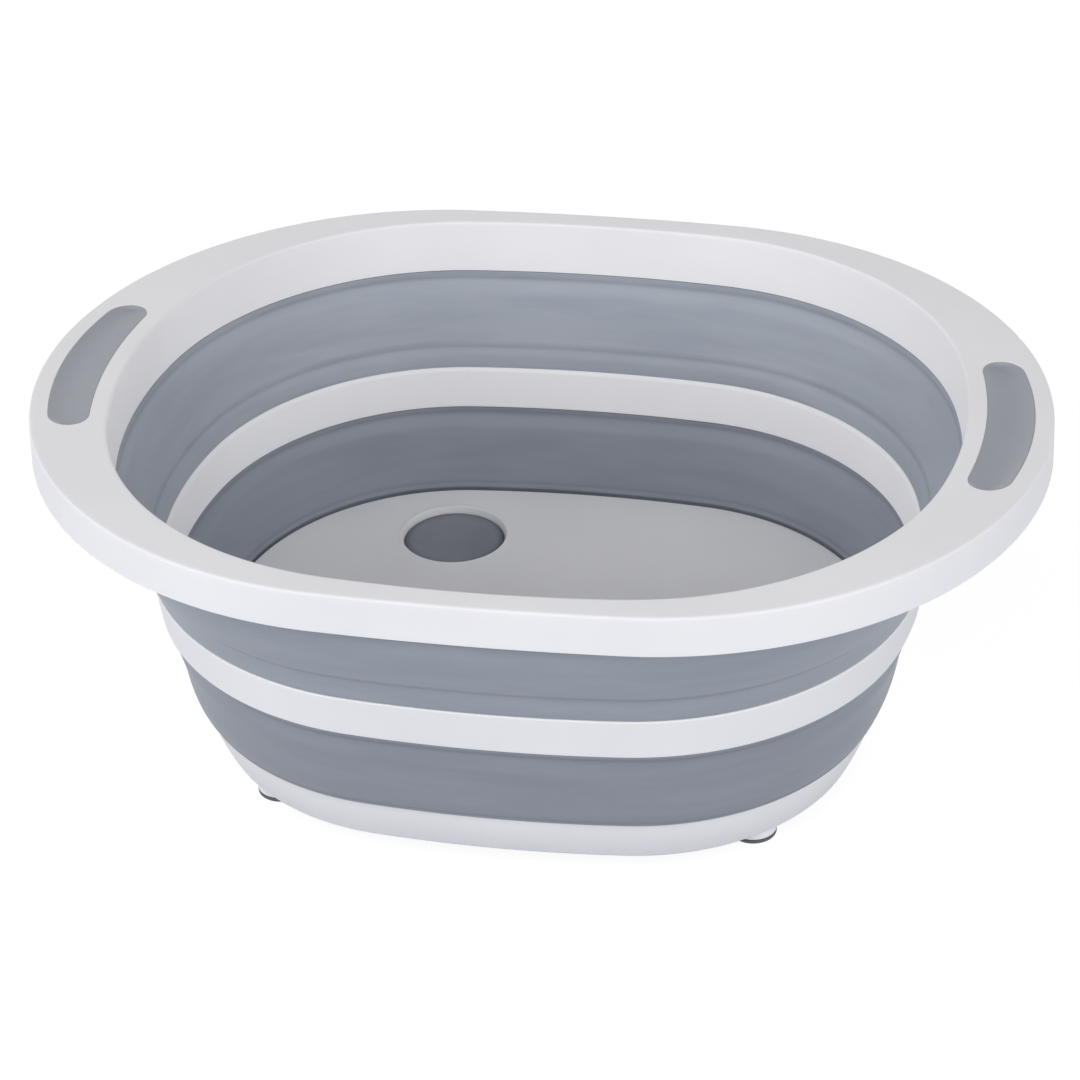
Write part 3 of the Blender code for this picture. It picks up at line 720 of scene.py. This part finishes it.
def waveLine(knots, steps):
    # Swellings and hollows: a cubic from each (height, swelling) to the next. The slope at a
    # knot is the harmonic mean of the straight slopes before and after it, or none where they
    # turn over.
    height, swelling = np.array(knots).T / 1000
    gap = np.diff(height)
    straight = np.diff(swelling) / gap
    before, after = straight[:-1], straight[1:]
    product = np.maximum(before * after, 0.0)
    total = np.where(product > 0.0, before + after, 1.0)
    slope = np.concatenate([[0.0], 2 * product / total, [0.0]])
    t = np.linspace(0.0, 1.0, steps + 1)[:-1]
    first, last = swelling[:-1, None], swelling[1:, None]
    rise = (3 * t ** 2 - 2 * t ** 3) * (last - first)
    startSlope, endSlope = (gap * slope[:-1])[:, None], (gap * slope[1:])[:, None]
    bend = (t - 2 * t ** 2 + t ** 3) * startSlope + (t ** 3 - t ** 2) * endSlope
    z = height[:-1, None] + t * gap[:, None]
    return np.append(z, height[-1]), np.append(first + rise + bend, swelling[-1])


def wallFace(low, high, name, outside):
    # A face of the wall as (inset, height): the straight lean between its ends, then outwards
    # by the polynomial through its broad places, and by the swellings on its own side.
    broad, knots = wall[name]
    z, swell = waveLine(knots, wall["steps"])
    up, out = np.array(broad).T
    bow = np.polyval(np.polyfit(up, out, len(broad) - 1), z * 1000) / 1000
    z = z + heights[low]
    lean = faceInset(low, high, z)
    inset = lean - shellThickness - bow - swell if outside else lean - bow + swell
    return np.stack([inset, z], axis=1)


def wallShell(name, low, high):
    # Up the inner face, over the top, down the outer face and back under the foot.
    inner = wallFace(low, high, name + "Inner", outside=False)
    outer = wallFace(low, high, name + "Outer", outside=True)[::-1]
    zTop, zLow, edge = heights[high] - wall["seam"], heights[low] + wall["seam"], wall["edge"]
    over = np.array([[inner[-1, 0] - edge, zTop], [outer[0, 0] + edge, zTop]])
    if name == "upper":
        foot = np.array([[outer[-1, 0] + edge, zLow], [inner[0, 0] - edge, zLow]])
    else:
        # the foot reaches down over the tray's edge, and leaves a fine groove beside the floor
        shoulder = heights["shoulder"] + wall["seam"]
        floor = heights["floor"] - wall["groove"]
        step = insets["floor"] - wall["step"]
        grooveWall = insets["floor"] - wall["grooveWidth"] - wall["step"]
        foot = np.array([[insets["shoulder"], shoulder], [step, shoulder], [step, floor],
                         [grooveWall, floor]])
        inner = inner[inner[:, 1] > zLow]
    return shellOf(ovalRows(mouthOutline, np.concatenate([inner, over, outer, foot])))


for name, low, high, node, bodies in (
        ("lower", "floor", "ringBottom", "lower_wall", ("base", "middle")),
        ("upper", "ringTop", "rimWall", "upper_wall", ("middle", "rim"))):
    piece = makePiece("soft_wall_" + name, [wallShell(name, low, high)], silicone[name])
    keepRest(piece)
    # painted shade along the hinge lines and joins of the wall
    keepFoldShade(piece, low, *wall[name + "Lines"], wall["lineWidth"])
    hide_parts(node)
    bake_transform(piece)
print("ring and walls made")

# Tray, with the drain, feet and plug

tray = {
    "floorThickness": 0.0025, "floorMargin": 0.0010, "floorEdge": 0.0007,
    "stepTop": 0.0002, "stepFoot": 0.00025, "shoulderEdge": 0.0006,
    "skirtThickness": 0.0024, "skirtEdge": 0.0016,
    "skirtInnerEdge": 0.0004, "skirtBow": 0.0008, "skirtRows": 13, "bowStop": 1.35,
    "hollowEdge": 0.0034, "hollowRound": 0.0012, "hollowMargin": 0.0080,
    "ribInset": 0.0808, "ribThickness": 0.0016, "ribDepth": 0.0060, "ribClear": 0.0228,
    "ribLower": 0.0012, "spokes": (0.0, 26.436, 71.261, 90.0), "spokeSteps": 801,
    "floorShares": (0.15, 0.35, 0.55, 0.75, 0.9, 0.97, 0.995),
    "belowShares": (0.1, 0.3, 0.5, 0.7, 0.9),
}
drain = {
    "centre": (-0.049855, 0.070247), "hole": 0.0150, "seat": 0.0261, "seatEdge": 0.0006,
    "recess": 0.0206, "recessEdge": 0.0003, "wallDrop": 0.0004, "wallEdge": 0.0004,
    "lip": 0.0213, "lipRise": 0.0003, "lipEdge": 0.0007,
    "lipFoot": 0.0021, "lipFootEdge": 0.0008, "lipMargin": 0.0042,
    "seatUnder": 0.0233, "collar": 0.0245, "collarEdge": 0.0006, "collarMargin": 0.0025,
    "spoutBottom": 0.0133, "spoutWall": 0.0024, "spoutEdge": 0.0005,
}
foot = {"place": (0.0900, 0.0690), "radius": 0.0090, "bossBottom": 0.0018, "bossTop": 0.0290,
        "bossEdge": 0.0005, "edgeSteps": 4, "columns": 64}
plug = {
    "radius": 0.0202, "top": 0.0289, "thickness": 0.0025, "dish": 0.0020, "dishRows": 14,
    "bead": 0.0181, "beadEdge": 0.0012, "beadGap": 1.3, "fall": 0.0005, "edge": 0.0006,
    "lowerEdge": 0.0003, "stopper": 0.0146, "stopperWall": 0.0020, "stopperLength": 0.0100,
    "stopperDraft": 0.0005, "stopperRoot": 0.0004, "stopperEdge": 0.0005, "boreEdge": 0.0004,
    "skin": 0.0009, "boreRound": 0.0008, "columns": 128, "shadeWidth": 0.0021,
}
floorUnder = heights["floor"] - tray["floorThickness"]
spoutRadius = drain["hole"] + drain["spoutWall"]


def trayShell():
    # One closed skin: rings about the drain pass evenly into rings of the oval, over the floor,
    # down the skirt, and back under the floor to the drain's spout.
    floor, high, low = heights["floor"], heights["shoulder"], heights["skirt"]
    start = insets["floor"] + tray["floorMargin"]
    edgeRing = ovalRows(mouthOutline, np.array([[start, floor]]))[0]
    centreX, centreY = drain["centre"]
    polar = np.arctan2(edgeRing[:, 1] - centreY, edgeRing[:, 0] - centreX)

    def drainRows(profile):
        x = centreX + profile[:, :1] * np.cos(polar)
        y = centreY + profile[:, :1] * np.sin(polar)
        return np.stack([x, y, np.broadcast_to(profile[:, 1:], x.shape)], axis=-1)

    well = softCorners([
        (drain["hole"], drain["spoutBottom"], 0),
        (drain["hole"], drain["seat"], drain["seatEdge"]),
        (drain["recess"], drain["seat"], drain["recessEdge"]),
        (drain["recess"], plug["top"] - drain["wallDrop"], drain["wallEdge"]),
        (drain["lip"], floor + drain["lipRise"], drain["lipEdge"]),
        (drain["lip"] + drain["lipFoot"], floor, drain["lipFootEdge"]),
        (drain["lip"] + drain["lipMargin"], floor, 0)])
    # the skirt bows outwards by bow sin(pi s), down to the start of its round lower edge
    skirtTop, skirtFoot = insets["shoulder"], insets["skirt"]
    s = np.linspace(0.0, 1.0 - tray["bowStop"] * tray["skirtEdge"] / (high - low),
                    tray["skirtRows"])[1:]
    bow = tray["skirtBow"] * np.sin(np.pi * s)
    bowed = np.stack([skirtTop + (skirtFoot - skirtTop) * s - bow, high + (low - high) * s,
                      np.zeros(len(s))], axis=1)
    side = softCorners([
        (start, floor, 0), (insets["floor"] - tray["stepTop"], floor, tray["floorEdge"]),
        (insets["floor"] - tray["stepFoot"], high, 0),
        (skirtTop, high, tray["shoulderEdge"]), *bowed.tolist(),
        (skirtFoot, low, tray["skirtEdge"]),
        (skirtFoot + tray["skirtThickness"], low, tray["skirtInnerEdge"]),
        (skirtTop + tray["hollowEdge"], floorUnder, tray["hollowRound"]),
        (skirtTop + tray["hollowMargin"], floorUnder, 0)])
    under = softCorners([
        (drain["collar"] + drain["collarMargin"], floorUnder, 0),
        (drain["collar"], floorUnder, drain["collarEdge"]),
        (drain["collar"], drain["seatUnder"], drain["collarEdge"]),
        (spoutRadius, drain["seatUnder"], drain["spoutEdge"]),
        (spoutRadius, drain["spoutBottom"], drain["spoutEdge"]),
        (drain["hole"], drain["spoutBottom"], 0)])
    wellRows, sideRows = drainRows(well), ovalRows(mouthOutline, side)
    underRows = drainRows(under[:-1])
    # a last floor row close to the edge keeps the floor flat up to it
    floorRows = between(wellRows[-1], sideRows[0], tray["floorShares"])
    belowRows = between(sideRows[-1], underRows[0], tray["belowShares"])
    return shellOf(np.concatenate([wellRows, floorRows, sideRows, belowRows, underRows]))


def fromDrain(x, y):
    # The distance from the drain's axis.
    return np.hypot(x - drain["centre"][0], y - drain["centre"][1])


def trayRibs():
    # An oval rib under the floor, and spokes from it to the skirt. Round the drain their tops
    # stay under its seat, and nothing crosses the spout.
    low, high = floorUnder - tray["ribDepth"], floorUnder + web["sink"]
    lowered, edge = drain["seatUnder"] + tray["ribLower"], web["edge"]
    near = tray["ribInset"] - tray["ribThickness"] / 2
    far = tray["ribInset"] + tray["ribThickness"] / 2
    section = softCorners([(near, high, 0), (near, low, edge), (far, low, edge),
                           (far, high, 0)], web["edgeSteps"])
    rows = ovalRows(mouthOutline, section)
    close = (fromDrain(rows[..., 0], rows[..., 1]) < tray["ribClear"]) & (rows[..., 2] > lowered)
    rows[..., 2] = np.where(close, lowered, rows[..., 2])
    ribs = [shellOf(rows)]
    for angle in allQuarters(tray["spokes"]):
        start = np.array(ovalRing(mouthOutline, angle, tray["ribInset"]))
        end = np.array(ovalRing(mouthOutline, angle, insets["shoulder"] + tray["skirtThickness"]))
        walk = start + np.linspace(0.0, 1.0, tray["spokeSteps"])[:, None] * (end - start)
        crossing = np.flatnonzero(fromDrain(*walk.T) < drain["hole"] + drain["spoutWall"] / 2)
        if len(crossing):
            start = walk[crossing[-1]]
        places = start + np.linspace(0.0, 1.0, web["stations"])[:, None] * (end - start)
        tops = np.where(fromDrain(*places.T) < tray["ribClear"], lowered, high)
        ribs.append(rib(start, end, tray["ribThickness"], low, tops))
    return ribs


footX, footY = foot["place"]
footPlaces = ((footX, footY), (footX, -footY), (-footX, footY), (-footX, -footY))


def bossShell(place):
    # The round boss above a foot, up into the floor.
    radius, low, high = foot["radius"], foot["bossBottom"], foot["bossTop"]
    profile = softCorners([(0.0, low, 0), (radius, low, foot["bossEdge"]), (radius, high, 0),
                           (0.0, high, 0)], foot["edgeSteps"])
    return turned(profile, place, foot["columns"])


bosses = [bossShell(place) for place in footPlaces]
trayPiece = makePiece("tray_moulding", [trayShell()] + trayRibs() + bosses, white)
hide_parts("base_tray")
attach(trayPiece, "base")


def plugShell():
    # A disc with a soft bead round a shallow dish, over a hollow stopper.
    r, topZ, dish, bead = plug["radius"], plug["top"], plug["dish"], plug["bead"]
    under = topZ - plug["thickness"]
    low = under - plug["stopperLength"]
    stopper, bore = plug["stopper"], plug["stopper"] - plug["stopperWall"]
    boreTop = topZ - dish - plug["skin"]
    # the dish rises from its middle by dish (s^2), s the share of the way to the bead
    s = np.linspace(0.0, 1.0 - plug["beadGap"] * plug["beadEdge"] / bead, plug["dishRows"])
    hollow = np.stack([bead * s, topZ - dish * (1 - s ** 2), np.zeros(len(s))], axis=1)
    profile = softCorners([
        *hollow.tolist(), (bead, topZ, plug["beadEdge"]), (r, topZ - plug["fall"], plug["edge"]),
        (r, under, plug["lowerEdge"]), (stopper, under, plug["stopperRoot"]),
        (stopper - plug["stopperDraft"], low, plug["stopperEdge"]),
        (bore, low, plug["boreEdge"]), (bore, boreTop, plug["boreRound"]), (0.0, boreTop, 0)])
    return turned(profile, drain["centre"], plug["columns"])


plugPiece = makePiece("plug_moulding", [plugShell()], plugFinish)
# painted shade in a dark ring round the plug's edge
keepEdgeShade(plugPiece, drain["centre"], plug["radius"], plug["shadeWidth"])
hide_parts("drain_plug")
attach(plugPiece, "plug")

pad = {"radius": 0.0090, "thickness": 0.0015, "edge": 0.0007, "topEdge": 0.0003,
       "stem": 0.0062, "stemTop": 0.0075, "stemEdge": 0.0004, "edgeSteps": 5}


def padShell(place):
    # A round pad with a stem up into its boss.
    radius, thickness, stem = pad["radius"], pad["thickness"], pad["stem"]
    profile = softCorners([
        (0.0, 0.0, 0), (radius, 0.0, pad["edge"]), (radius, thickness, pad["topEdge"]),
        (stem, thickness, 0), (stem, pad["stemTop"], pad["stemEdge"]),
        (0.0, pad["stemTop"], 0)], pad["edgeSteps"])
    return turned(profile, place, foot["columns"])


for number, place in enumerate(footPlaces, start=1):
    piece = makePiece(f"foot_pad_moulding_{number}", [padShell(place)], padFinish)
    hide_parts(f"foot_pad_{number}")
    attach(piece, "base")
print("tray, plug and feet made")

# Stage, light and camera

stage = {"size": 8.0, "bounce": (0.46, 0.48, 0.53), "seenGlow": 0.90, "seenShade": 0.16,
         "worldLevel": 0.18, "aim": (0.0, 0.0, 0.07)}


def seenMask(tree, x, y):
    # 1 for camera, glossy and transmission rays.
    path = addNode(tree, "ShaderNodeLightPath", x, y)
    both = mathNode(tree, "MAXIMUM", x + 180, y, path.outputs["Is Camera Ray"],
                    path.outputs["Is Glossy Ray"])
    return mathNode(tree, "MAXIMUM", x + 360, y, both, path.outputs["Is Transmission Ray"])


def makeFloor():
    # A pale floor that glows to white where it is seen and bounces a plain grey elsewhere.
    half = stage["size"] / 2
    mesh = bpy.data.meshes.new("studioFloor")
    mesh.from_pydata([(-half, -half, 0), (half, -half, 0), (half, half, 0), (-half, half, 0)],
                     [], [(0, 1, 2, 3)])
    floor = bpy.data.objects.new("studio_floor", mesh)
    bpy.context.scene.collection.objects.link(floor)
    material = bpy.data.materials.new("paleFloor")
    material.use_nodes = True
    tree = material.node_tree
    tree.nodes.clear()
    plain = addNode(tree, "ShaderNodeBsdfDiffuse", 0, 160, {"Color": (*stage["bounce"], 1.0)})
    faint = addNode(tree, "ShaderNodeBsdfDiffuse", 0, -40, {
        "Color": (stage["seenShade"],) * 3 + (1.0,)})
    glow = addNode(tree, "ShaderNodeEmission", 0, -200, {"Strength": stage["seenGlow"]})
    seen = addNode(tree, "ShaderNodeAddShader", 200, -100, {
        0: faint.outputs[0], 1: glow.outputs[0]})
    choose = addNode(tree, "ShaderNodeMixShader", 400, 0, {
        0: seenMask(tree, -600, 300), 1: plain.outputs[0], 2: seen.outputs[0]})
    addNode(tree, "ShaderNodeOutputMaterial", 600, 0, {"Surface": choose.outputs[0]})
    mesh.materials.append(material)


def makeWorld():
    # An even light from all round, which is white where it is seen.
    world = bpy.data.worlds.new("studioWorld")
    bpy.context.scene.world = world
    world.use_nodes = True
    tree = world.node_tree
    tree.nodes.clear()
    white = (1.0, 1.0, 1.0, 1.0)
    light = addNode(tree, "ShaderNodeBackground", 0, 100, {
        "Strength": stage["worldLevel"], "Color": white})
    seen = addNode(tree, "ShaderNodeBackground", 0, -100, {"Color": white})
    choose = addNode(tree, "ShaderNodeMixShader", 300, 0, {
        0: seenMask(tree, -600, 300), 1: light.outputs[0], 2: seen.outputs[0]})
    addNode(tree, "ShaderNodeOutputWorld", 600, 0, {"Surface": choose.outputs[0]})


def softbox(name, place, size, power):
    # A rectangular area lamp turned towards the basin.
    data = bpy.data.lights.new(name, "AREA")
    data.shape = "RECTANGLE"
    data.size, data.size_y = size
    data.energy = power
    lamp = bpy.data.objects.new(name, data)
    bpy.context.scene.collection.objects.link(lamp)
    direction = Vector(stage["aim"]) - Vector(place)
    lamp.rotation_mode = "QUATERNION"
    lamp.rotation_quaternion = direction.to_track_quat("-Z", "Y")
    lamp.location = place


# name, place, width and height, watts
lamps = (
    ("front_box", (0.2, -2.6, 0.9), (3.2, 1.4), 16.0),
    ("front_high_box", (0.2, -2.1, 2.2), (2.4, 1.6), 11.0),
    ("front_left_box", (-1.8, -1.8, 1.2), (0.9, 2.0), 26.0),
    ("front_right_box", (1.8, -1.8, 1.2), (0.9, 2.0), 23.0),
    ("left_box", (-2.3, -0.3, 1.2), (1.2, 1.2), 17.5),
    ("right_box", (2.3, -0.3, 1.2), (1.2, 1.2), 15.5),
    ("back_left_box", (-1.1, 2.2, 1.4), (1.4, 1.0), 9.0),
    ("back_low_box", (0.4, 2.6, 0.40), (2.8, 0.6), 16.0),
)
makeFloor()
makeWorld()
for lamp in lamps:
    softbox(*lamp)

# Where the photo was taken from: the image's right and down and the view's forward
camera = {
    "place": (0.209041, -1.087156, 0.775798), "lens": 114.536, "sensor": 36.0,
    "clip": (0.01, 50.0),
    "right": (0.9843069, 0.17489307, -0.02350186),
    "down": (0.07389882, -0.52946998, -0.84510384),
    "forward": (-0.16024634, 0.83010478, -0.53408535),
}


def makeCamera():
    # A camera at the photo's place whose axes are the image's right and up and the view's back.
    data = bpy.data.cameras.new("photoCamera")
    data.lens, data.sensor_width = camera["lens"], camera["sensor"]
    data.clip_start, data.clip_end = camera["clip"]
    seat = bpy.data.objects.new("photo_camera", data)
    bpy.context.scene.collection.objects.link(seat)
    axes = np.eye(4)
    axes[:3, 0] = camera["right"]
    axes[:3, 1] = -np.array(camera["down"])
    axes[:3, 2] = -np.array(camera["forward"])
    axes[:3, 3] = camera["place"]
    seat.matrix_world = Matrix(axes.tolist())
    bpy.context.scene.camera = seat


makeCamera()
bpy.context.scene.view_settings.view_transform = "Standard"
print("stage, light and camera made")
